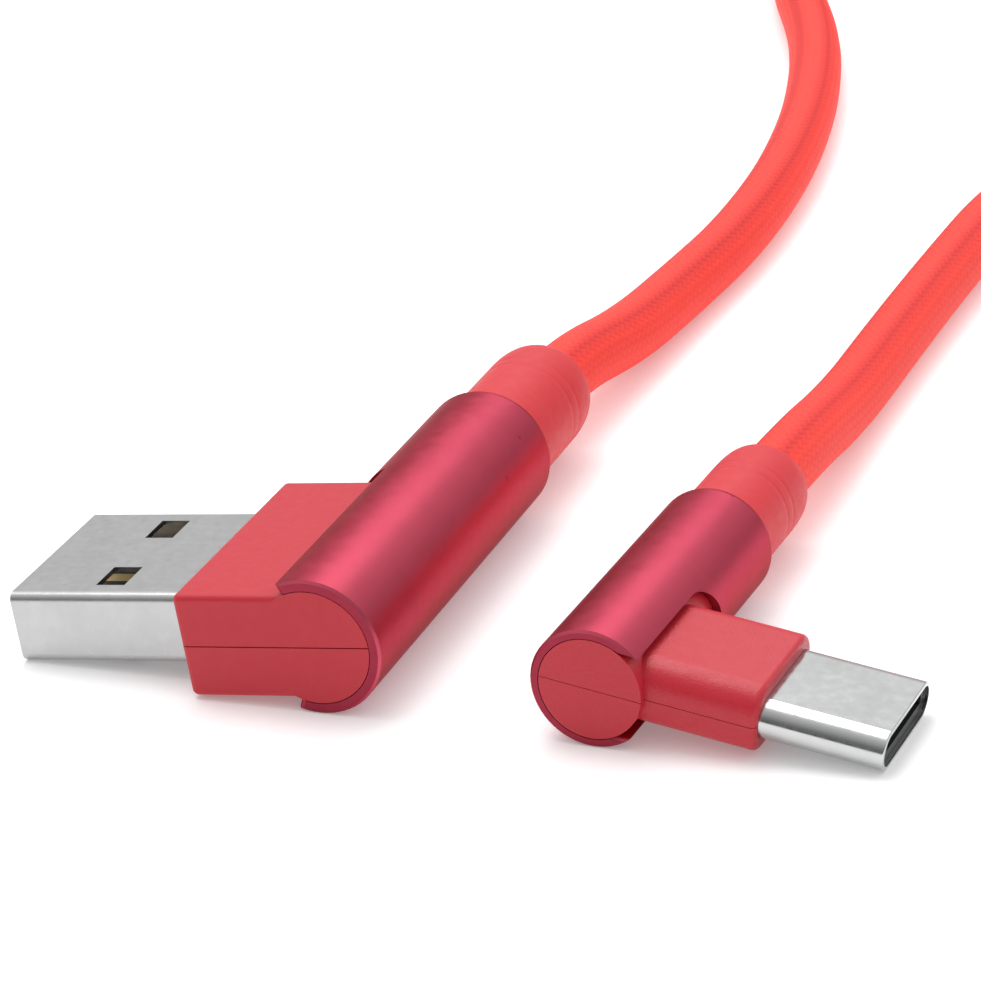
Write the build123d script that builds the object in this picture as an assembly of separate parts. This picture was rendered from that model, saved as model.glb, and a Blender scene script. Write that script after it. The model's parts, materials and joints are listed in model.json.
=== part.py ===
"""Charging cable with a right-angled USB-A plug and a right-angled USB-C plug on one braided cord.

Each plug is a pair of moulded half covers inside a slotted aluminium sleeve, with a soft strain relief
behind it. Both plugs lie on a flat surface at z = 0: the round sleeve touches it along its length, and
the plug leans over until the tip of its metal shell touches it too.

Row frame, in millimetres: +Z up, +Y along the USB-A sleeve towards the cord, +X from the USB-A plug to
the USB-C plug, origin at the bottom centre of the box round both plugs.

Each plug is drawn in its own frame first: the sleeve's axis is Y with its open end at y = 0, the
connector points along +X, and Z is up. The USB-A plug is then mirrored to point along -X.
"""
from build123d import *
from math import asin, atan2, cos, degrees, pi, radians, sin, sqrt, tan
import os

# ---- driving dimensions ----
CORD_D = 4.3                # braided cord
WIRE_D = 0.8                # insulated conductor
SLIP = 0.02                 # clearance between pieces that are moulded or crimped together
FIT = 0.05                  # clearance between the covers and the sleeve
PAST = 1.0                  # how far a cut goes past what it cuts

USB_A = dict(
    at=(-6.774, -19.372), yaw=0.0, mirrored=True,
    sleeve_r=4.25, sleeve_wall=0.65, sleeve_len=28.4, slot_half_angle=66.0, slot_len=16.9,
    lip_round=0.55, block_len=8.5, block_front=0.0, block_back=16.4, block_half_h=3.27, block_edge=0.4,
    parting=0.07, joint_room=(-2.2, (1.5, 15.0), 1.9), wire_room_start=14.5,
    shell_w=12.0, shell_h=4.5, shell_wall=0.3, shell_edge=0.55, shell_out=12.2, shell_in=5.3,
    cord_start=20.0, stem_start=23.0, crimp=(20.6, 22.4), crimp_wall=0.43,
    relief_r=3.58, relief_end=39.2, relief_dome=3.3,
)
USB_C = dict(
    at=(10.226, -19.672), yaw=-2.87, mirrored=False,
    sleeve_r=3.65, sleeve_wall=0.5, sleeve_len=20.0, slot_half_h=2.55, slot_len=11.2, lip_round=0.4,
    block_len=9.7, block_front=0.5, block_back=9.6, block_half_h=2.05, block_edge=1.6, end_edge=0.35,
    parting=0.04, joint_room=(-1.95, (1.25, 8.85), 1.4), wire_room_start=8.3,
    shell_w=8.25, shell_h=2.4, shell_wall=0.25, shell_out=7.3, shell_in=3.2,
    cord_start=13.5, stem_start=16.0, crimp=(13.9, 15.4), crimp_wall=0.38,
    relief_r=3.08, relief_end=28.8, relief_dome=3.0,
)
WIRE_ROOM_R = 2.2           # space for the wires, where they leave the cord
CORD_IN_RELIEF = 5.0        # how deep in each strain relief the free cord starts

# ---- the cord's route from each strain relief to the coil, one point at each bend ----
ROUTE_A = [(-6.774, 14.828, 4.25), (-6.774, 23.0, 4.25), (-5.8, 32.5, 2.7), (-5.3, 42.5, 2.2),
           (-4.45, 53.0, 2.2), (-5.0, 66.5, 2.2), (-7.4, 82.0, 2.2), (-11.9, 98.5, 2.2),
           (-18.9, 114.5, 2.2), (-22.4, 127.5, 2.2), (-22.4, 138.6, 2.2)]
ROUTE_C = [(11.418, 4.098, 3.65), (11.928, 14.285, 3.65), (12.0, 24.5, 2.2), (12.1, 36.0, 2.2),
           (12.4, 48.5, 2.2), (13.1, 63.5, 2.2), (17.9, 80.5, 2.2), (26.6, 97.5, 2.2),
           (33.6, 114.5, 2.2), (36.95, 127.5, 2.2), (36.95, 138.6, 2.2)]

# ---- the coil of the rest: four and a half turns, three lanes below and two above ----
COIL = dict(x=7.275, y=156.5, outer_r=32.2, inner_r=16.3, base=0.03, height=8.7, edge=2.0)
TIE = dict(width=12.0, wall=1.0, base=0.02, slack=0.15)


def rod(radius, start, end):
    """A round bar on the sleeve's axis."""
    return along_y(Circle(radius), start, end)


def along_y(sketch, start, end):
    """A sketch in (x, z), made solid from one y to another."""
    return Pos(0, start, 0) * extrude(Plane.XZ * sketch, amount=start - end)


def along_x(sketch, start, end):
    """A sketch in (y, z), made solid from one x to another."""
    return Pos(start, 0, 0) * extrude(Plane.YZ * sketch, amount=end - start)


def block(x, y, z):
    """A plain box from its range along each axis."""
    middle = [(low + high) / 2 for low, high in (x, y, z)]
    return Pos(*middle) * Box(x[1] - x[0], y[1] - y[0], z[1] - z[0])


def joined(pieces):
    """Separate solids kept together as one node."""
    return Compound(children=[piece.solids()[0] for piece in pieces])


# ---- the pieces that both ends have ----
def sleeve_tube(p, front_edge=0.15, back_edge=0.5):
    """The sleeve before its slot is cut: a tube with eased outer edges."""
    tube = rod(p["sleeve_r"], 0, p["sleeve_len"])
    tube = fillet(tube.edges().filter_by(GeomType.CIRCLE).sort_by(Axis.Y)[-1], back_edge)
    tube = chamfer(tube.edges().filter_by(GeomType.CIRCLE).sort_by(Axis.Y)[0], front_edge)
    return tube - rod(p["sleeve_r"] - p["sleeve_wall"], -PAST, p["sleeve_len"] + PAST)


def rounded_lips(p, sleeve):
    """The slotted sleeve with the two corners rounded where its slot meets its open end."""
    corners = [edge for edge in sleeve.edges().filter_by(GeomType.LINE)
               if edge.center().Y < SLIP and edge.length > p["sleeve_wall"] / 2]
    return fillet(corners, p["lip_round"])


def core_radius(p):
    return p["sleeve_r"] - p["sleeve_wall"] - FIT


def shell_centre(p):
    """Where the connector's centre line is along the sleeve."""
    return (p["block_front"] + p["block_back"]) / 2


def half_covers(p, body, shell_room, shell_back):
    """The moulded body, hollowed for what it holds and split at its parting line."""
    body -= crimp_ring(p, grow=SLIP, hollow=False)
    body -= rod(CORD_D / 2 + SLIP, p["cord_start"] - SLIP, p["stem_start"] + PAST)
    body -= along_x(shell_room, shell_back - SLIP, p["block_len"] + PAST)
    body -= block(*joint_room(p, shell_back))
    body -= rod(WIRE_ROOM_R, p["wire_room_start"], p["cord_start"])
    reach, half_line = 2 * p["stem_start"], p["parting"] / 2
    upper = body & block((-reach, reach), (-reach, reach), (half_line, reach))
    lower = body & block((-reach, reach), (-reach, reach), (-reach, -half_line))
    return upper, lower


def joint_room(p, shell_back):
    """Range along each axis of the space behind the shell, where the wires meet the contacts."""
    low_x, y, half_h = p["joint_room"]
    return (low_x, shell_back - SLIP), y, (-half_h, half_h)


def crimp_ring(p, grow=0.0, hollow=True):
    """The metal ring crimped on the cord, which the covers grip."""
    start, end = p["crimp"]
    ring = rod(CORD_D / 2 + p["crimp_wall"] + grow, start - grow, end + grow)
    return ring - rod(CORD_D / 2 + SLIP / 2, start - PAST, end + PAST) if hollow else ring


def strain_relief(p, lip_w=0.3, shoulder_w=0.6, grooves=2, groove_w=0.3, groove_depth=0.07, groove_pitch=1.0):
    """Soft sleeve over the cord: a stem in the metal sleeve, then a grooved barrel with a domed end."""
    bore, r = CORD_D / 2 + SLIP, p["relief_r"]
    stem, back, end = p["stem_start"] + SLIP, p["sleeve_len"] + SLIP, p["relief_end"]
    dome_start, lip = end - p["relief_dome"], bore + lip_w
    outline = Polyline((lip, end), (bore, end), (bore, stem), (core_radius(p), stem),
                       (core_radius(p), back), (r, back), (r, dome_start))
    outline += Bezier((r, dome_start), (r, end - 0.4 * p["relief_dome"]), (lip + shoulder_w, end), (lip, end))
    relief = revolve(make_face(outline), Axis.Y)
    for i in range(grooves):
        start = dome_start - groove_w - i * groove_pitch
        inside = rod(r - groove_depth, start - PAST, start + groove_w + PAST)
        relief -= rod(r + PAST, start, start + groove_w) - inside
    return relief


def conductors(p, tail_x, tail_ys, z, bend=1.2, first_lane=1.35, lane_pitch=0.9):
    """Four conductors: each leaves the cord in its own lane and turns to its contact, none crossing."""
    made = []
    for i, y in enumerate(sorted(tail_ys, reverse=True)):
        lane = first_lane - i * lane_pitch
        path = FilletPolyline((lane, p["cord_start"] - SLIP, z), (lane, y, z), (tail_x, y, z), radius=bend)
        made.append(sweep(Plane(origin=path @ 0, z_dir=path % 0) * Circle(WIRE_D / 2), path=path))
    return made


def filler(p, shell_back, held, overlap=0.5):
    """Plastic moulded round the joints between wires and contacts, with room for each of them."""
    x, y, z = [(low + SLIP, high - SLIP) for low, high in joint_room(p, shell_back)]
    fill = block(x, y, z) + rod(WIRE_ROOM_R - SLIP, y[1] - overlap, p["cord_start"] - 2 * SLIP)
    for piece in held:
        fill -= piece
    return fill.solids().sort_by(SortBy.VOLUME)[-1]


def shared_pieces(p, wires):
    """What is made the same way at both ends, by the last words of each node's name."""
    made = {
        "crimp_ring": crimp_ring(p),
        "strain_relief": strain_relief(p),
        "cord_end": rod(CORD_D / 2, p["cord_start"], p["relief_end"] - CORD_IN_RELIEF),
    }
    for colour, wire in zip(("black", "green", "white", "red"), wires):
        made["wire_" + colour] = wire
    return made


# ---- USB-A end ----
def usb_a_pieces():
    p = USB_A
    mid_y, half_h = shell_centre(p), p["shell_h"] / 2
    shell_back, mouth = p["block_len"] - p["shell_in"], p["block_len"] + p["shell_out"]

    # the slot is a wedge from the sleeve's open end, as wide as the block is high
    far, half_angle = 3 * p["sleeve_r"], radians(p["slot_half_angle"])
    lip = (far * cos(half_angle), far * sin(half_angle))
    wedge = make_face(Polyline((0, 0), (lip[0], -lip[1]), (2 * far, -lip[1]), (2 * far, lip[1]), lip, (0, 0)))
    sleeve = rounded_lips(p, sleeve_tube(p) - along_y(wedge, -PAST, p["slot_len"]))

    # moulded body: a block outside the slot and a round core inside the sleeve
    height = (-p["block_half_h"], p["block_half_h"])
    outside = block((0, p["block_len"]), (0, p["block_back"]), height)
    outside = fillet([edge for edge in outside.edges() if edge.center().X > SLIP], p["block_edge"])
    body = outside + rod(core_radius(p), 0, p["stem_start"])
    shell_room = Pos(mid_y, 0) * RectangleRounded(p["shell_w"] + 2 * SLIP, p["shell_h"] + 2 * SLIP,
                                                  p["shell_edge"] + SLIP)
    upper, lower = half_covers(p, body, shell_room, shell_back)

    # folded steel shell: two windows above, two below, and the butt seam underneath
    wall = p["shell_wall"]
    outline = RectangleRounded(p["shell_w"], p["shell_h"], p["shell_edge"])
    outline -= RectangleRounded(p["shell_w"] - 2 * wall, p["shell_h"] - 2 * wall, p["shell_edge"] - wall)
    shell = along_x(Pos(mid_y, 0) * outline, shell_back, mouth)
    window_end, window_len, window_w, window_side, seam_w = mouth - 5.26, 1.91, 2.5, 1.4, 0.08
    for side in (-1, 1):
        y = mid_y + side * (p["shell_w"] / 2 - window_side - window_w / 2)
        shell -= block((window_end - window_len, window_end), (y - window_w / 2, y + window_w / 2),
                       (-half_h - PAST, half_h + PAST))
    shell -= block((shell_back - PAST, mouth + PAST), (mid_y - seam_w / 2, mid_y + seam_w / 2),
                   (-half_h - PAST, -half_h / 2))

    # insulator on the lower side of the shell: a tongue, and a heel that fills the shell behind it
    bottom, tongue_thick, side_gap = -half_h + wall + SLIP, 2.0, 0.2
    top = bottom + tongue_thick
    half_w = p["shell_w"] / 2 - wall - side_gap
    across = (mid_y - half_w, mid_y + half_w)
    heel_start, heel_end, tongue_end = shell_back + 0.6, shell_back + 5.0, mouth - 0.9
    insulator = block((heel_start, tongue_end), across, (bottom, top))
    insulator += block((heel_start, heel_end), across, (bottom, -bottom))

    # four contacts let into the tongue, the outer two longer
    contact_w, contact_t, proud, tail, wire_setback = 1.0, 0.22, 0.02, 1.4, 0.25
    tail_ys = [mid_y + offset for offset in (-3.5, -1.0, 1.0, 3.5)]
    front_setbacks = (0.7, 1.7, 1.7, 0.7)
    contacts = []
    for y, setback in zip(tail_ys, front_setbacks):
        contacts.append(block((shell_back - tail, tongue_end - setback), (y - contact_w / 2, y + contact_w / 2),
                              (top + proud - contact_t, top + proud)))
        insulator -= contacts[-1]

    wires = conductors(p, shell_back - wire_setback, tail_ys, top + proud + WIRE_D / 2)
    made = {
        "sleeve": sleeve, "cover_upper": upper, "cover_lower": lower, "shell": shell,
        "insulator": insulator, "contacts": joined(contacts),
        "inner_mould": filler(p, shell_back, wires + contacts),
    }
    return made | shared_pieces(p, wires)


# ---- USB-C end ----
def usb_c_pieces():
    p = USB_C
    mid_y = shell_centre(p)
    shell_back, mouth = p["block_len"] - p["shell_in"], p["block_len"] + p["shell_out"]

    # the slot is a straight cut from the sleeve's open end, with a full round end
    round_y, far = p["slot_len"] - p["slot_half_h"], p["block_len"]
    slot = block((0, far), (-PAST, round_y), (-p["slot_half_h"], p["slot_half_h"]))
    slot += along_x(Pos(round_y, 0) * Circle(p["slot_half_h"]), 0, far)
    sleeve = rounded_lips(p, sleeve_tube(p) - slot)

    # moulded body: a block with soft long edges, and a round core inside the sleeve
    depth = p["block_back"] - p["block_front"]
    section = Pos(mid_y, 0) * RectangleRounded(depth, 2 * p["block_half_h"], p["block_edge"])
    outside = along_x(section, 0, p["block_len"])
    outside = fillet(outside.faces().sort_by(Axis.X)[-1].edges(), p["end_edge"])
    body = outside + rod(core_radius(p), 0, p["stem_start"])
    shell_room = Pos(mid_y, 0) * SlotOverall(p["shell_w"] + 2 * SLIP, p["shell_h"] + 2 * SLIP)
    upper, lower = half_covers(p, body, shell_room, shell_back)

    # seamless oval shell
    wall, rim_edge = p["shell_wall"], 0.1
    outline = SlotOverall(p["shell_w"], p["shell_h"])
    outline -= SlotOverall(p["shell_w"] - 2 * wall, p["shell_h"] - 2 * wall)
    shell = along_x(Pos(mid_y, 0) * outline, shell_back, mouth)
    rim = shell.faces().sort_by(Axis.X)[-1].outer_wire().edges()
    shell = fillet(rim, rim_edge)

    # contact housing: it lines the shell and leaves the space for the socket's tongue
    housing_w, housing_h = p["shell_w"] - 2 * wall - 2 * SLIP, p["shell_h"] - 2 * wall - 2 * SLIP
    cavity_w, cavity_h, cavity_depth, set_in = 6.7, 0.75, 6.3, 0.3
    housing = along_x(Pos(mid_y, 0) * SlotOverall(housing_w, housing_h), shell_back + set_in, mouth - set_in)
    housing -= along_x(Pos(mid_y, 0) * Rectangle(cavity_w, cavity_h), mouth - cavity_depth, mouth)

    # two rows of contacts soldered to the two sides of the board, by their positions 1 to 12
    board_t, pitch, contact_w, contact_t = 0.6, 0.5, 0.25, 0.15
    contact_start, contact_end = 5.4, mouth - 1.2
    foot = board_t / 2 + SLIP
    rows = {}
    for row, side, places in (("upper", 1, (1, 4, 5, 6, 7, 9, 12)), ("lower", -1, (1, 4, 5, 9, 12))):
        rows[row] = []
        for place in places:
            y = mid_y + side * (place - 6.5) * pitch
            height = sorted((side * foot, side * (foot + contact_t)))
            rows[row].append(block((contact_start, contact_end), (y - contact_w / 2, y + contact_w / 2), height))

    # latch: a thin steel fork whose two arms hold the socket's tongue from its sides
    latch_t, arm_in, arm_out, bar_start, bar_end, arm_end = 0.2, 3.2, 3.45, 8.0, 8.6, mouth - 1.4
    flat = (-latch_t / 2, latch_t / 2)
    latch = block((bar_start, bar_end), (mid_y - arm_out, mid_y + arm_out), flat)
    for side in (-1, 1):
        arm = sorted((mid_y + side * arm_in, mid_y + side * arm_out))
        latch += block((bar_start, arm_end), arm, flat)
    for piece in rows["upper"] + rows["lower"] + [latch]:
        housing -= piece

    # circuit board behind the shell, with the pull-up resistor on its underside
    board_start, board_end, board_half_w = 2.9, shell_back + 0.2, 3.4
    board = block((board_start, board_end), (mid_y - board_half_w, mid_y + board_half_w), (-board_t / 2, board_t / 2))
    resistor_x, resistor_w, resistor_h = (3.9, 4.9), 0.5, 0.35
    resistor = block(resistor_x, (mid_y - resistor_w / 2, mid_y + resistor_w / 2), (-foot - resistor_h, -foot))

    pads_x = 4.3
    tail_ys = [mid_y + offset for offset in (-2.4, -0.8, 0.8, 2.4)]
    wires = conductors(p, pads_x, tail_ys, foot + WIRE_D / 2)
    made = {
        "sleeve": sleeve, "cover_upper": upper, "cover_lower": lower, "shell": shell,
        "contact_housing": housing, "contacts_upper": joined(rows["upper"]),
        "contacts_lower": joined(rows["lower"]), "latch": latch, "circuit_board": board,
        "pull_up_resistor": resistor,
        "inner_mould": filler(p, shell_back, wires + rows["upper"] + rows["lower"] + [board, resistor]),
    }
    return made | shared_pieces(p, wires)


# ---- where the plugs lie ----
def rest_tilt(p):
    """How far a plug leans for its shell's tip to touch the surface that its sleeve lies on."""
    reach, half_h = p["block_len"] + p["shell_out"], p["shell_h"] / 2
    return degrees(asin(p["sleeve_r"] / sqrt(reach**2 + half_h**2)) - atan2(half_h, reach))


def laid_down(p, shape):
    """A piece of a plug, moved from the plug's own frame to where it lies."""
    tilt = rest_tilt(p)
    if p["mirrored"]:
        shape, tilt = mirror(shape, about=Plane.YZ), -tilt
    return Pos(*p["at"], p["sleeve_r"]) * Rot(0, 0, p["yaw"]) * Rot(0, tilt, 0) * shape


# ---- the cord ----
def cord_run(name, points):
    """A tube of straight runs joined by arcs, each arc as large as its two runs allow."""
    points = [Vector(*point) for point in points]
    radii = []
    for before, corner, after in zip(points, points[1:], points[2:]):
        turn = radians((corner - before).get_angle(after - corner))
        radii.append(0.45 * min((corner - before).length, (after - corner).length) / tan(turn / 2))
    path = FilletPolyline(*points, radius=radii)
    tube = sweep(Plane(origin=path @ 0, z_dir=path % 0) * Circle(CORD_D / 2), path=path)
    expected = pi * (CORD_D / 2)**2 * path.length
    print(name, "length", round(path.length, 1), "radii", [round(r) for r in radii],
          "volume to section times length", round(tube.volume / expected, 4),
          "lowest", round(tube.bounding_box().min.Z, 3))
    return tube


def coil_and_tie():
    """The coil's outer shape with the cord's two straight ends, and the strap round its far side."""
    centre = Pos(COIL["x"], COIL["y"], COIL["base"])
    ring = Cylinder(COIL["outer_r"], COIL["height"], align=(Align.CENTER, Align.CENTER, Align.MIN))
    ring -= Cylinder(COIL["inner_r"], 3 * COIL["height"])
    ring = centre * fillet(ring.edges().filter_by(GeomType.CIRCLE), COIL["edge"])
    for x, y, z in (ROUTE_A[-1], ROUTE_C[-1]):
        ring += Pos(0, y, 0) * extrude(Plane.XZ * Pos(x, z) * Circle(CORD_D / 2), amount=y - COIL["y"])
    half_w, wall, slack = TIE["width"] / 2, TIE["wall"], TIE["slack"]
    near = COIL["y"] + sqrt(COIL["inner_r"]**2 - half_w**2) - slack
    far = COIL["y"] + COIL["outer_r"] + slack
    low = TIE["base"] + wall
    high = low + COIL["height"] + slack
    across = (COIL["x"] - half_w, COIL["x"] + half_w)
    hole = block((across[0] - 1, across[1] + 1), (near, far), (low, high))
    strap = block(across, (near - wall, far + wall), (low - wall, high + wall))
    strap = fillet(strap.edges().filter_by(Axis.X), 0.9) - hole
    return ring - strap, strap


nodes = {}
for prefix, plug, pieces in (("usb_a_", USB_A, usb_a_pieces()), ("usb_c_", USB_C, usb_c_pieces())):
    print(prefix, "tilt", round(rest_tilt(plug), 3))
    for name, piece in pieces.items():
        nodes[prefix + name] = laid_down(plug, piece)

plugs = Compound(children=[Pos(0, 0, 0) * node for node in nodes.values()]).bounding_box()
print("plugs", plugs.min, plugs.max, "centre", plugs.center())

nodes["cord_run_a"] = cord_run("cord_run_a", ROUTE_A)
nodes["cord_run_c"] = cord_run("cord_run_c", ROUTE_C)
nodes["cord_coil"], nodes["coil_tie"] = coil_and_tie()

os.makedirs("parts", exist_ok=True)
for name, node in nodes.items():
    export_step(node, f"parts/{name}.step")
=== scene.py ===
import json
import math
import bpy
from mathutils import Matrix, Vector


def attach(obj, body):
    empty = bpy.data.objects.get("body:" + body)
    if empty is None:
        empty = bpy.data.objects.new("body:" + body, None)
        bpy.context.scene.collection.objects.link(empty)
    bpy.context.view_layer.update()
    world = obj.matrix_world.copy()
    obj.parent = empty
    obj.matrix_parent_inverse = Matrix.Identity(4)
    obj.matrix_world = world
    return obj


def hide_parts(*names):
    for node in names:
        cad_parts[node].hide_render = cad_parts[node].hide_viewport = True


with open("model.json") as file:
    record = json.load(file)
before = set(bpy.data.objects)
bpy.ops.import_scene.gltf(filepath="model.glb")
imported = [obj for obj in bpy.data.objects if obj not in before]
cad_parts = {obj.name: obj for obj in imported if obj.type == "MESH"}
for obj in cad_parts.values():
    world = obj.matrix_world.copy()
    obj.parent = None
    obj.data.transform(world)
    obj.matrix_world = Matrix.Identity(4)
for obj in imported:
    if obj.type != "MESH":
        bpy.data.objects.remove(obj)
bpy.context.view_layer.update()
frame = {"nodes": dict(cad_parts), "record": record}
nodes = frame["nodes"]
mm = 0.001
print("frame loaded,", len(nodes), "pieces from the CAD")


cameraSetup = {
    "place": (0.08033, -0.19557, 0.10129),
    "turn": 23.105,     # round the upright, from looking along +Y
    "down": 24.177,     # below the horizon
    "roll": -4.85,
    "lens": 139.84,
}


def addCamera(c):
    data = bpy.data.cameras.new("camera")
    data.lens = c["lens"]
    data.sensor_width = 36
    data.clip_start = 0.01
    cam = bpy.data.objects.new("camera", data)
    turn = Matrix.Rotation(math.radians(c["turn"]), 4, "Z")
    tip = Matrix.Rotation(math.radians(90 - c["down"]), 4, "X")
    roll = Matrix.Rotation(math.radians(c["roll"]), 4, "Z")
    cam.matrix_world = Matrix.Translation(c["place"]) @ turn @ tip @ roll
    bpy.context.scene.collection.objects.link(cam)
    bpy.context.scene.camera = cam


addCamera(cameraSetup)
print("camera placed")


cordSetup = {
    "width": 4.3 * mm,
    "ringPoints": 28,
    "ringStep": 0.9 * mm,
    "gapBelow": 0.05 * mm,
    "coilX": 6.2 * mm,
    "coilY": 156.5 * mm,
    "firstR": 28.6 * mm,       # the turn that the USB-A end runs into
    "pitch": 4.3 * mm,
    "perTurn": 18,
    "turns": 4.5,
    "tieLift": 1.05 * mm,      # the strap passes under the turns
    "tieSpan": 32,             # how far to each side of the strap the turns are lifted, in degrees
}

# from each strain relief to the coil, one point at each bend, as in the CAD
routeA = [(-0.006774, 0.014828, 0.00425), (-0.006774, 0.023, 0.00425), (-0.0058, 0.0325, 0.0027),
          (-0.0053, 0.0425, 0.0022), (-0.00445, 0.053, 0.0022), (-0.005, 0.0665, 0.0022),
          (-0.0074, 0.082, 0.0022), (-0.0119, 0.0985, 0.0022), (-0.0189, 0.1145, 0.0022),
          (-0.0224, 0.1275, 0.0022), (-0.0224, 0.1386, 0.0022)]
routeC = [(0.011418, 0.004098, 0.00365), (0.011928, 0.014285, 0.00365), (0.012, 0.0245, 0.0022),
          (0.0121, 0.036, 0.0022), (0.0124, 0.0485, 0.0022), (0.0131, 0.0635, 0.0022),
          (0.0179, 0.0805, 0.0022), (0.0266, 0.0975, 0.0022), (0.0336, 0.1145, 0.0022),
          (0.03695, 0.1275, 0.0022), (0.03695, 0.1386, 0.0022)]


def coilPoint(c, turn):
    # two turns inwards on the table, one and three quarters back out on top, then down over the outside
    def lower(t):
        return c["firstR"] - c["pitch"] * t

    low = c["width"] / 2 + c["gapBelow"]
    climbStart, climbEnd, dropStart, dropEnd = 2, 2.35, 4.1, c["turns"]
    if turn < climbStart:
        r, z = lower(turn), 0
    elif turn < climbEnd:
        climb = math.radians(59.3) * (turn - climbStart) / (climbEnd - climbStart)
        r = lower(turn - 1) - c["width"] * math.cos(climb)
        z = c["width"] * math.sin(climb)
    elif turn < dropStart:
        r = lower(climbEnd - 1) - c["width"] * 0.51 + c["pitch"] * (turn - climbEnd)
        z = c["width"] * min(1, 0.86 + 0.6 * (turn - climbEnd))
    else:
        drop = math.radians(90) * (turn - dropStart) / (dropEnd - dropStart)
        r = lower(turn - 4) + c["width"] * math.sin(drop)
        z = c["width"] * math.cos(drop)
    angle = math.pi * (1 - 2 * turn)
    fromTie = abs((math.degrees(angle) - 90 + 180) % 360 - 180)
    z += c["tieLift"] * math.exp(-(fromTie / c["tieSpan"]) ** 4)
    return (c["coilX"] + r * math.cos(angle), c["coilY"] + r * math.sin(angle), low + z)


def cordPoints(c):
    halfStep = math.pi / c["perTurn"]
    outward = 1 / (0.5 + 0.5 * math.cos(halfStep) ** 2) ** 0.5     # a spline runs inside its points
    points = list(routeA)
    count = int(c["turns"] * c["perTurn"])
    for i in range(count + 1):
        x, y, z = coilPoint(c, i / c["perTurn"])
        grow = outward if 0 < i < count else 1
        points.append((c["coilX"] + (x - c["coilX"]) * grow, c["coilY"] + (y - c["coilY"]) * grow, z))
    return points + routeC[::-1]


def splineLine(name, points):
    curve = bpy.data.curves.new(name, "CURVE")
    curve.dimensions = "3D"
    curve.resolution_u = 16
    spline = curve.splines.new("NURBS")
    spline.points.add(len(points) - 1)
    for p, co in zip(spline.points, points):
        p.co = (*co, 1)
    spline.order_u = 3
    spline.use_endpoint_u = True
    obj = bpy.data.objects.new(name, curve)
    bpy.context.scene.collection.objects.link(obj)
    bpy.context.view_layer.update()
    mesh = bpy.data.meshes.new_from_object(obj)
    line = [v.co.copy() for v in mesh.vertices]
    bpy.data.objects.remove(obj)
    bpy.data.meshes.remove(mesh)
    return line


def evenly(line, step):
    # the same line with its points a step apart
    lengths = [0]
    for a, b in zip(line, line[1:]):
        lengths.append(lengths[-1] + (b - a).length)
    count = round(lengths[-1] / step)
    out, i = [], 0
    for k in range(count + 1):
        s = lengths[-1] * k / count
        while i < len(line) - 2 and lengths[i + 1] < s:
            i += 1
        f = (s - lengths[i]) / (lengths[i + 1] - lengths[i])
        out.append(line[i].lerp(line[i + 1], min(1, f)))
    return out, lengths[-1]


def tubeAlong(name, line, radius, around, length):
    # a closed tube with its uv in metres: u along the line, v round it
    verts, faces, uvs = [], [], []
    up = Vector((0, 0, 1))
    side = None
    for i, p in enumerate(line):
        ahead = (line[min(i + 1, len(line) - 1)] - line[max(i - 1, 0)]).normalized()
        side = ahead.cross(up) if side is None else side - ahead * side.dot(ahead)
        side.normalize()
        top = side.cross(ahead)
        for k in range(around):
            a = 2 * math.pi * k / around
            verts.append(p + radius * (math.cos(a) * side + math.sin(a) * top))
    step = length / (len(line) - 1)
    for i in range(len(line) - 1):
        for k in range(around):
            a, b = i * around + k, i * around + (k + 1) % around
            faces.append((a, b, b + around, a + around))
            u0, u1 = i * step, (i + 1) * step
            v0, v1 = k / around, (k + 1) / around
            uvs += [(u0, v0), (u0, v1), (u1, v1), (u1, v0)]
    for ring, flip in ((0, True), (len(line) - 1, False)):
        face = [ring * around + k for k in range(around)]
        faces.append(face[::-1] if flip else face)
        uvs += [(ring * step, 0)] * around
    mesh = bpy.data.meshes.new(name)
    mesh.from_pydata(verts, [], faces)
    layer = mesh.uv_layers.new(name="along")
    for loop, uv in zip(layer.data, uvs):
        loop.uv = uv
    mesh.polygons.foreach_set("use_smooth", [True] * len(faces))
    obj = bpy.data.objects.new(name, mesh)
    bpy.context.scene.collection.objects.link(obj)
    return obj


def addCord(c):
    line, length = evenly(splineLine("cordLine", cordPoints(c)), c["ringStep"])
    cord = tubeAlong("braidedCord", line, c["width"] / 2, c["ringPoints"], length)
    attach(cord, "root")
    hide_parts("cord_run_a", "cord_coil", "cord_run_c")
    print("cord", round(length * 1000), "mm long,", len(line), "rings")
    return cord


def turned(name, profile, around, at, yaw):
    # profile is a closed outline of (radius, place along y), turned round y, then moved to at and yawed
    verts, faces = [], []
    count = len(profile)
    for k in range(around):
        a = 2 * math.pi * k / around
        verts += [(r * math.cos(a), y, r * math.sin(a)) for r, y in profile]
    for k in range(around):
        a, b = k * count, (k + 1) % around * count
        faces += [(a + i, a + (i + 1) % count, b + (i + 1) % count, b + i) for i in range(count)]
    mesh = bpy.data.meshes.new(name)
    mesh.from_pydata(verts, [], faces)
    mesh.transform(Matrix.Translation(at) @ Matrix.Rotation(math.radians(yaw), 4, "Z"))
    mesh.polygons.foreach_set("use_smooth", [True] * len(faces))
    obj = bpy.data.objects.new(name, mesh)
    bpy.context.scene.collection.objects.link(obj)
    return obj


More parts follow.
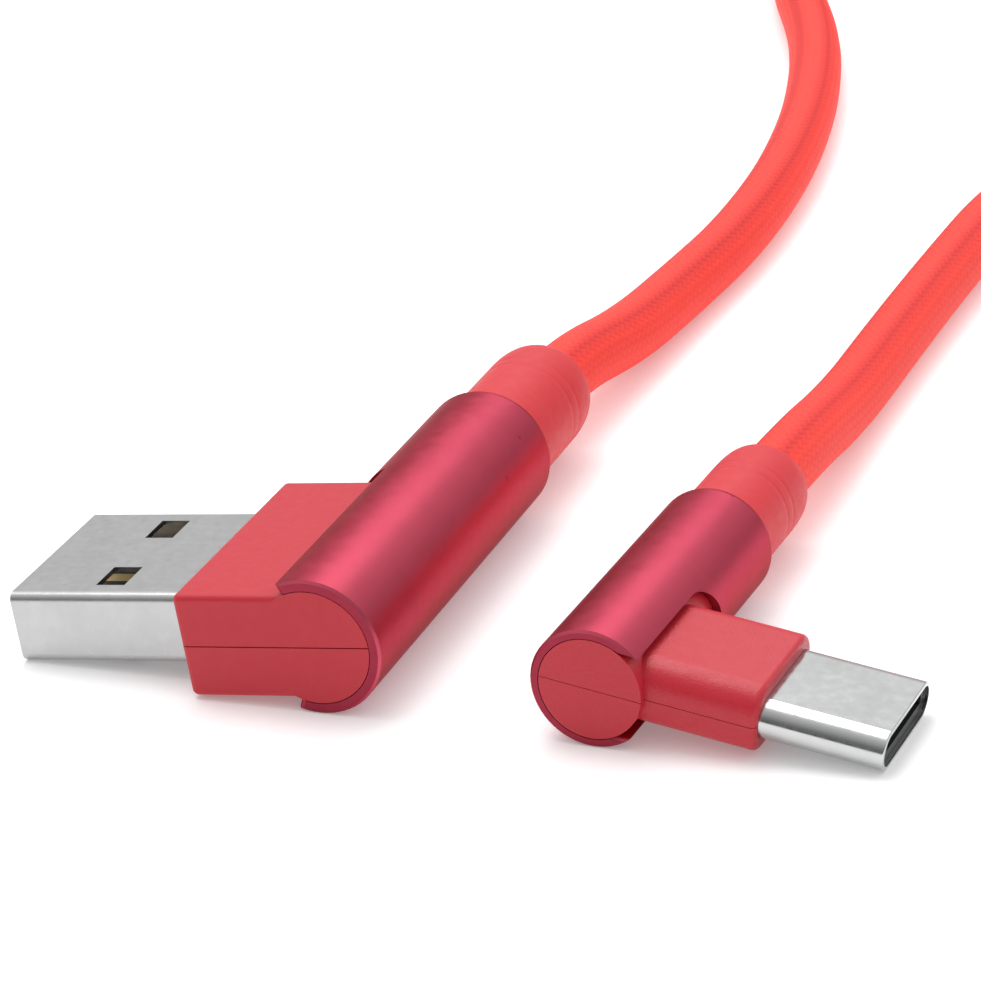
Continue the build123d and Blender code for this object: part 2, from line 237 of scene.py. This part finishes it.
reliefA = {
    "name": "reliefA", "node": "usb_a_strain_relief",
    "at": (-0.006774, -0.019372, 0.00425), "yaw": 0,
    "bore": 2.17 * mm, "stem": 3.55 * mm, "barrel": 3.58 * mm,
    "stemStart": 23.02 * mm, "barrelStart": 28.43 * mm, "domeStart": 35.9 * mm, "end": 38.75 * mm,
    "rings": (34.3 * mm, 35.3 * mm), "ringDepth": 0.03 * mm, "ringWidth": 0.16 * mm,
}
reliefC = {
    "name": "reliefC", "node": "usb_c_strain_relief",
    "at": (0.010226, -0.019672, 0.00365), "yaw": -2.87,
    "bore": 2.17 * mm, "stem": 3.1 * mm, "barrel": 3.08 * mm,
    "stemStart": 16.02 * mm, "barrelStart": 20.03 * mm, "domeStart": 25.9 * mm, "end": 28.35 * mm,
    "rings": (24.1 * mm, 25.1 * mm), "ringDepth": 0.03 * mm, "ringWidth": 0.16 * mm,
}


def addRelief(c):
    def barrelRadius(y):
        dips = sum(math.exp(-((y - ring) / c["ringWidth"]) ** 2) for ring in c["rings"])
        return c["barrel"] - c["ringDepth"] * dips

    ease, lipWidth = 0.12 * mm, 0.45 * mm
    barrelSteps, domeSteps = 96, 20
    profile = [(c["bore"], c["stemStart"]), (c["stem"] - ease, c["stemStart"]),
               (c["stem"], c["stemStart"] + ease), (c["stem"], c["barrelStart"] - ease)]
    for i in range(barrelSteps):
        y = c["barrelStart"] + (c["domeStart"] - c["barrelStart"]) * i / barrelSteps
        profile.append((barrelRadius(y), y))
    lip = c["bore"] + lipWidth
    for i in range(domeSteps + 1):
        # powers below 1 make the dome squarer than a quarter ellipse
        a = math.pi / 2 * i / domeSteps
        out, ahead = max(0, math.cos(a)) ** 0.75, math.sin(a) ** 0.9
        y = c["domeStart"] + (c["end"] - c["domeStart"]) * ahead
        profile.append((lip + (c["barrel"] - lip) * out, y))
    profile += [(c["bore"] + ease, c["end"] - 0.02 * mm), (c["bore"], c["end"] - ease)]
    obj = turned(c["name"], profile, 96, c["at"], c["yaw"])
    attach(obj, "root")
    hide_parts(c["node"])
    return obj


reliefs = [addRelief(reliefA), addRelief(reliefC)]
print("strain reliefs made")

strap = {
    "x": 6.8 * mm,
    "width": 12 * mm,
    "thick": 0.9 * mm,
    "gap": 0.06 * mm,
    "overlap": 12 * mm,
    "edge": 0.25 * mm,
    "directions": 240,
    "startsAt": 38,            # of those directions: the outer upper corner, so that the overlap is on top
    "steps": 150,
}


def bundleAt(c):
    # where the turns pass inside the strap, as (y, z), over the strap's width
    places = []
    nearby, margin = 0.008, 0.2 * mm
    for turn in (0.25, 1.25, 2.25, 3.25, 4.25):
        for k in range(-6, 7):
            x, y, z = coilPoint(c, turn + k * nearby)
            if abs(x - strap["x"]) < strap["width"] / 2 + margin:
                places.append((y, z))
    return places


def hullRound(places, reach, steps):
    # the taut loop round circles of that radius: for each direction, the furthest circle
    loop = []
    for k in range(steps):
        a = 2 * math.pi * k / steps
        y, z = max(places, key=lambda q: q[0] * math.cos(a) + q[1] * math.sin(a))
        loop.append((y + reach * math.cos(a), z + reach * math.sin(a), a))
    return loop


def addStrap(c, cordWidth):
    reach = cordWidth / 2 + c["gap"] + c["thick"] / 2
    loop = hullRound(bundleAt(cordSetup), reach, c["directions"])
    loop = loop[c["startsAt"]:] + loop[:c["startsAt"]]
    line = loop + loop
    lengths = [0]
    for p, q in zip(line, line[1:]):
        lengths.append(lengths[-1] + math.hypot(q[0] - p[0], q[1] - p[1]))
    around = lengths[len(loop)]
    total = around + c["overlap"]
    riseBefore, riseLength = 6 * mm, 5 * mm
    path, k = [], 0
    for i in range(c["steps"] + 1):
        s = total * i / c["steps"]
        while lengths[k + 1] < s:
            k += 1
        f = (s - lengths[k]) / max(1e-9, lengths[k + 1] - lengths[k])
        y = line[k][0] + (line[k + 1][0] - line[k][0]) * f
        z = line[k][1] + (line[k + 1][1] - line[k][1]) * f
        turn = (line[k + 1][2] - line[k][2] + math.pi) % (2 * math.pi) - math.pi
        a = line[k][2] + turn * f
        rise = min(1, max(0, (s - around + riseBefore) / riseLength))
        lift = (c["thick"] + c["gap"]) * rise * rise * (3 - 2 * rise)
        path.append((y + lift * math.cos(a), z + lift * math.sin(a), a, s))
    # the section is a flat rectangle with its corners eased, and the free end is rounded
    w, t, e = c["width"] / 2, c["thick"] / 2, c["edge"]
    verts, faces = [], []
    for y, z, a, s in path:
        left = total - s
        half = w if left > w else w * (0.35 + 0.65 * math.sqrt(max(0, 1 - (1 - left / w) ** 2)))
        section = [(-half, -t + e), (-half + e, -t), (half - e, -t), (half, -t + e),
                   (half, t - e), (half - e, t), (-half + e, t), (-half, t - e)]
        corners = len(section)
        verts += [(c["x"] + x, y + n * math.cos(a), z + n * math.sin(a)) for x, n in section]
    for i in range(len(path) - 1):
        for k in range(corners):
            a, b = i * corners + k, i * corners + (k + 1) % corners
            faces.append((a, b, b + corners, a + corners))
    faces += [tuple(range(corners - 1, -1, -1)), tuple(range(len(verts) - corners, len(verts)))]
    mesh = bpy.data.meshes.new("hookLoopStrap")
    mesh.from_pydata(verts, [], faces)
    mesh.polygons.foreach_set("use_smooth", [True] * len(faces))
    obj = bpy.data.objects.new("hookLoopStrap", mesh)
    bpy.context.scene.collection.objects.link(obj)
    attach(obj, "root")
    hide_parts("coil_tie")
    print("strap", round(total * 1000), "mm long, lowest", round(min(v[2] for v in verts) * 1000, 2), "mm")
    return obj


tie = addStrap(strap, cordSetup["width"])
cord = addCord(cordSetup)


def newMaterial(name, color, roughness, metallic=0.0):
    mat = bpy.data.materials.new(name)
    mat.use_nodes = True
    shader = mat.node_tree.nodes["Principled BSDF"]
    shader.inputs["Base Color"].default_value = (*color, 1)
    shader.inputs["Roughness"].default_value = roughness
    shader.inputs["Metallic"].default_value = metallic
    return mat, shader


def addNode(mat, kind, **settings):
    node = mat.node_tree.nodes.new(kind)
    for key, value in settings.items():
        setattr(node, key, value)
    return node


def link(mat, a, b):
    mat.node_tree.links.new(a, b)


def objectPlace(mat):
    return addNode(mat, "ShaderNodeTexCoord").outputs["Object"]


def noise(mat, vector, size, detail=3.0, rough=0.5):
    # size is the width of one grain in millimetres
    tex = addNode(mat, "ShaderNodeTexNoise")
    tex.inputs["Scale"].default_value = 1000 / size
    tex.inputs["Detail"].default_value = detail
    tex.inputs["Roughness"].default_value = rough
    link(mat, vector, tex.inputs["Vector"])
    return tex.outputs["Fac"]


def spread(mat, value, low, high, fromLow=0.3, fromHigh=0.7):
    ramp = addNode(mat, "ShaderNodeMapRange")
    ramp.inputs["From Min"].default_value = fromLow
    ramp.inputs["From Max"].default_value = fromHigh
    ramp.inputs["To Min"].default_value = low
    ramp.inputs["To Max"].default_value = high
    link(mat, value, ramp.inputs["Value"])
    return ramp.outputs["Result"]


def bump(mat, shader, height, depth):
    # depth is the height of the relief in millimetres
    node = addNode(mat, "ShaderNodeBump")
    node.inputs["Strength"].default_value = 1
    node.inputs["Distance"].default_value = depth * mm
    link(mat, height, node.inputs["Height"])
    link(mat, node.outputs["Normal"], shader.inputs["Normal"])


def scaled(color, factor):
    return tuple(v * factor for v in color)


def tint(mat, shader, value, colorA, colorB):
    mix = addNode(mat, "ShaderNodeMix", data_type="RGBA")
    mix.inputs["A"].default_value = (*colorA, 1)
    mix.inputs["B"].default_value = (*colorB, 1)
    link(mat, value, mix.inputs["Factor"])
    link(mat, mix.outputs["Result"], shader.inputs["Base Color"])


def anodisedAluminium():
    mat, shader = newMaterial("anodisedAluminium", (0.52, 0.066, 0.11), 0.36, 1.0)
    shader.inputs["Specular Tint"].default_value = (0.42, 0.05, 0.10, 1)
    shader.inputs["Coat Weight"].default_value = 0.35
    shader.inputs["Coat Roughness"].default_value = 0.4
    place = objectPlace(mat)
    # the blasted skin is a little uneven, with a few small darker scuffs
    skin = addNode(mat, "ShaderNodeMix", data_type="RGBA")
    skin.inputs["A"].default_value = (0.49, 0.058, 0.10, 1)
    skin.inputs["B"].default_value = (0.55, 0.074, 0.12, 1)
    link(mat, noise(mat, place, 2.5, 4), skin.inputs["Factor"])
    scuffed = addNode(mat, "ShaderNodeMix", data_type="RGBA")
    scuffed.inputs["B"].default_value = (0.24, 0.02, 0.045, 1)
    link(mat, skin.outputs["Result"], scuffed.inputs["A"])
    link(mat, spread(mat, noise(mat, place, 1.3, 2), 0, 0.6, 0.735, 0.775), scuffed.inputs["Factor"])
    # painted shade: faces turned towards −Y, the front ends, get a darker colour; they are also duller
    # (rougher) than the outside
    cut = addNode(mat, "ShaderNodeNewGeometry")
    split = addNode(mat, "ShaderNodeSeparateXYZ")
    link(mat, cut.outputs["Normal"], split.inputs["Vector"])
    frontEndShadeAndRough = spread(mat, split.outputs["Y"], 1, 0, -0.97, -0.85)
    # the darker colour mixed in here is painted shade on the front-facing ends
    endShade = addNode(mat, "ShaderNodeMix", data_type="RGBA")
    endShade.inputs["B"].default_value = (0.33, 0.022, 0.05, 1)
    link(mat, frontEndShadeAndRough, endShade.inputs["Factor"])
    link(mat, scuffed.outputs["Result"], endShade.inputs["A"])
    link(mat, endShade.outputs["Result"], shader.inputs["Base Color"])
    uneven = spread(mat, noise(mat, place, 0.9, 4), 0.33, 0.41)
    rougher = addNode(mat, "ShaderNodeMath", operation="MULTIPLY_ADD")
    rougher.inputs[1].default_value = 0.15
    link(mat, frontEndShadeAndRough, rougher.inputs[0])
    link(mat, uneven, rougher.inputs[2])
    link(mat, rougher.outputs["Value"], shader.inputs["Roughness"])
    bump(mat, shader, noise(mat, place, 0.11, 2), 0.004)
    return mat


def mouldedPlastic(name, color, grain, depth, roughness):
    mat, shader = newMaterial(name, color, roughness)
    shader.inputs["Specular IOR Level"].default_value = 0.38
    place = objectPlace(mat)
    tint(mat, shader, noise(mat, place, 1.6, 4), scaled(color, 0.965), color)
    uneven = spread(mat, noise(mat, place, 0.7, 3), roughness - 0.05, roughness + 0.08)
    link(mat, uneven, shader.inputs["Roughness"])
    bump(mat, shader, noise(mat, place, grain, 3), depth)
    return mat


def steel(name, color, roughness, grain, depth):
    mat, shader = newMaterial(name, color, roughness, 1.0)
    place = objectPlace(mat)
    uneven = spread(mat, noise(mat, place, 0.6, 5, 0.65), roughness - 0.05, roughness + 0.07)
    link(mat, uneven, shader.inputs["Roughness"])
    cloudy = noise(mat, place, 3.0, 6, 0.65)
    tint(mat, shader, cloudy, scaled(color, 0.86), scaled(color, 1.08))
    bump(mat, shader, noise(mat, place, grain, 2), depth)
    return mat


def braid():
    mat, shader = newMaterial("braidedNylon", (0.72, 0.035, 0.022), 0.65)
    uv = addNode(mat, "ShaderNodeUVMap", uv_map="along")
    split = addNode(mat, "ShaderNodeSeparateXYZ")
    link(mat, uv.outputs["UV"], split.inputs["Vector"])

    def calc(op, a, b=None):
        node = addNode(mat, "ShaderNodeMath", operation=op)
        for slot, value in zip(node.inputs, (a, b)):
            if value is None:
                continue
            if isinstance(value, (int, float)):
                slot.default_value = value
            else:
                link(mat, value, slot)
        return node.outputs["Value"]

    carriers, lay = 24, 9.5 * mm          # strands each way, and how far one goes round in
    along = calc("MULTIPLY", split.outputs["X"], carriers / lay / 2)
    around = calc("MULTIPLY", split.outputs["Y"], carriers)
    right = calc("ADD", along, around)
    left = calc("SUBTRACT", along, around)
    # each strand is a rounded ridge, and the two directions take turns on top
    ridgeR = calc("ABSOLUTE", calc("SINE", calc("MULTIPLY", right, math.pi)))
    ridgeL = calc("ABSOLUTE", calc("SINE", calc("MULTIPLY", left, math.pi)))
    turn = calc("SINE", calc("MULTIPLY", calc("ADD", calc("FLOOR", right), calc("FLOOR", left)), math.pi / 2))
    over = calc("GREATER_THAN", calc("ABSOLUTE", turn), 0.5)
    under = calc("SUBTRACT", 1, over)
    height = calc("ADD", calc("MULTIPLY", ridgeR, over), calc("MULTIPLY", ridgeL, under))
    # painted shade: two darker lines run along it, one each side of its top, standing in for the dark band
    # between the braid's two highlights
    top, lineFromTop = 0.25, 0.09      # in turns round it
    fromTop = calc("ABSOLUTE", calc("SUBTRACT", split.outputs["Y"], top))
    fromLine = calc("ABSOLUTE", calc("SUBTRACT", fromTop, lineFromTop))
    stripeShade = spread(mat, calc("ADD", fromLine, calc("MULTIPLY", height, 0.015)), 0, 1, 0.005, 0.065)
    # painted shade as well: the low parts of the weave, between the strands, are darker
    shade = calc("MULTIPLY", stripeShade, calc("ADD", 0.78, calc("MULTIPLY", height, 0.22)))
    tint(mat, shader, shade, (0.68, 0.014, 0.012), (0.95, 0.045, 0.026))
    bump(mat, shader, height, 0.03)
    return mat


def plain(name, color, roughness, metallic=0.0, grain=0.2, depth=0.006):
    mat, shader = newMaterial(name, color, roughness, metallic)
    place = objectPlace(mat)
    tint(mat, shader, noise(mat, place, 1.2, 3), scaled(color, 0.9), color)
    bump(mat, shader, noise(mat, place, grain, 2), depth)
    return mat


materials = {
    "anodised_red": anodisedAluminium(),
    "moulded_red": mouldedPlastic("mouldedPlastic", (0.575, 0.024, 0.04), 0.16, 0.010, 0.42),
    "soft_red": mouldedPlastic("softRelief", (0.66, 0.034, 0.044), 0.3, 0.006, 0.5),
    "braid_red": braid(),
    "strap_black": plain("strapWeave", (0.02, 0.02, 0.022), 0.8, grain=0.4, depth=0.05),
    "satin_steel": steel("satinSteel", (0.51, 0.512, 0.51), 0.31, 0.06, 0.00012),
    "polished_steel": steel("polishedSteel", (0.58, 0.585, 0.585), 0.15, 0.09, 0.00008),
    "insulator_black": plain("insulator", (0.02, 0.02, 0.022), 0.45),
    "gold_contacts": plain("goldContacts", (0.83, 0.58, 0.24), 0.3, 1.0),
    "inner_mould_white": plain("innerMould", (0.78, 0.77, 0.70), 0.5),
    "spring_steel": plain("springSteel", (0.6, 0.6, 0.6), 0.35, 1.0),
    "board_green": plain("solderMask", (0.02, 0.16, 0.06), 0.3),
    "wire_red": plain("wireRed", (0.6, 0.03, 0.03), 0.4),
    "wire_white": plain("wireWhite", (0.8, 0.8, 0.78), 0.4),
    "wire_green": plain("wireGreen", (0.03, 0.35, 0.08), 0.4),
    "wire_black": plain("wireBlack", (0.02, 0.02, 0.02), 0.4),
}
slotOf = {part["node"]: part["material_slot"] for part in frame["record"]["subparts"]}
# the USB-C covers have a coarser grain than the USB-A ones
sparkPlastic = mouldedPlastic("sparkPlastic", (0.575, 0.024, 0.04), 0.13, 0.026, 0.34)
for name, node in nodes.items():
    node.data.materials.clear()
    node.data.materials.append(sparkPlastic if name.startswith("usb_c_cover") else materials[slotOf[name]])
cord.data.materials.append(materials["braid_red"])
tie.data.materials.append(materials["strap_black"])
for relief in reliefs:
    relief.data.materials.append(materials["soft_red"])
print("materials set")


def addFloor():
    half = 3
    corners = [(-half, -half, 0), (half, -half, 0), (half, half, 0), (-half, half, 0)]
    mesh = bpy.data.meshes.new("floor")
    mesh.from_pydata(corners, [], [(0, 1, 2, 3)])
    floor = bpy.data.objects.new("floor", mesh)
    bpy.context.scene.collection.objects.link(floor)
    mat, shader = newMaterial("floorPaper", (0.92, 0.92, 0.925), 0.9)
    shader.inputs["Specular IOR Level"].default_value = 0.1
    shader.inputs["Emission Color"].default_value = (1, 1, 1, 1)
    shader.inputs["Emission Strength"].default_value = 0.2
    mesh.materials.append(mat)


def addLight(name, place, target, size, power):
    data = bpy.data.lights.new(name, "AREA")
    data.shape = "RECTANGLE"
    data.size, data.size_y = size
    data.energy = power
    light = bpy.data.objects.new(name, data)
    light.location = place
    light.rotation_euler = (Vector(target) - Vector(place)).to_track_quat("-Z", "Y").to_euler()
    bpy.context.scene.collection.objects.link(light)


def addWorld(low, high, front):
    # brighter overhead than at the horizon, and dimmer towards the front
    world = bpy.data.worlds.new("studio")
    bpy.context.scene.world = world
    world.use_nodes = True
    tree = world.node_tree
    back = tree.nodes["Background"]
    back.inputs["Color"].default_value = (1, 1, 1, 1)
    place = tree.nodes.new("ShaderNodeTexCoord")
    split = tree.nodes.new("ShaderNodeSeparateXYZ")
    tree.links.new(place.outputs["Generated"], split.inputs["Vector"])
    both = tree.nodes.new("ShaderNodeMath")
    both.operation = "MULTIPLY"
    for i, (axis, values) in enumerate((("Z", (0.0, 0.65, low, high)), ("Y", (-0.9, 0.1, front, 1.0)))):
        ramp = tree.nodes.new("ShaderNodeMapRange")
        for key, value in zip(("From Min", "From Max", "To Min", "To Max"), values):
            ramp.inputs[key].default_value = value
        tree.links.new(split.outputs[axis], ramp.inputs["Value"])
        tree.links.new(ramp.outputs["Result"], both.inputs[i])
    tree.links.new(both.outputs["Value"], back.inputs["Strength"])


addFloor()
addWorld(0.36, 1.12, 0.3)
addLight("softboxTop", (-0.2, 0.15, 0.8), (0, 0, 0), (0.5, 0.5), 2.9)
addLight("softboxBack", (-0.03, 0.5, 0.57), (0, 0, 0), (0.4, 0.2), 0.75)
bpy.context.scene.view_settings.view_transform = "Standard"
print("light set")
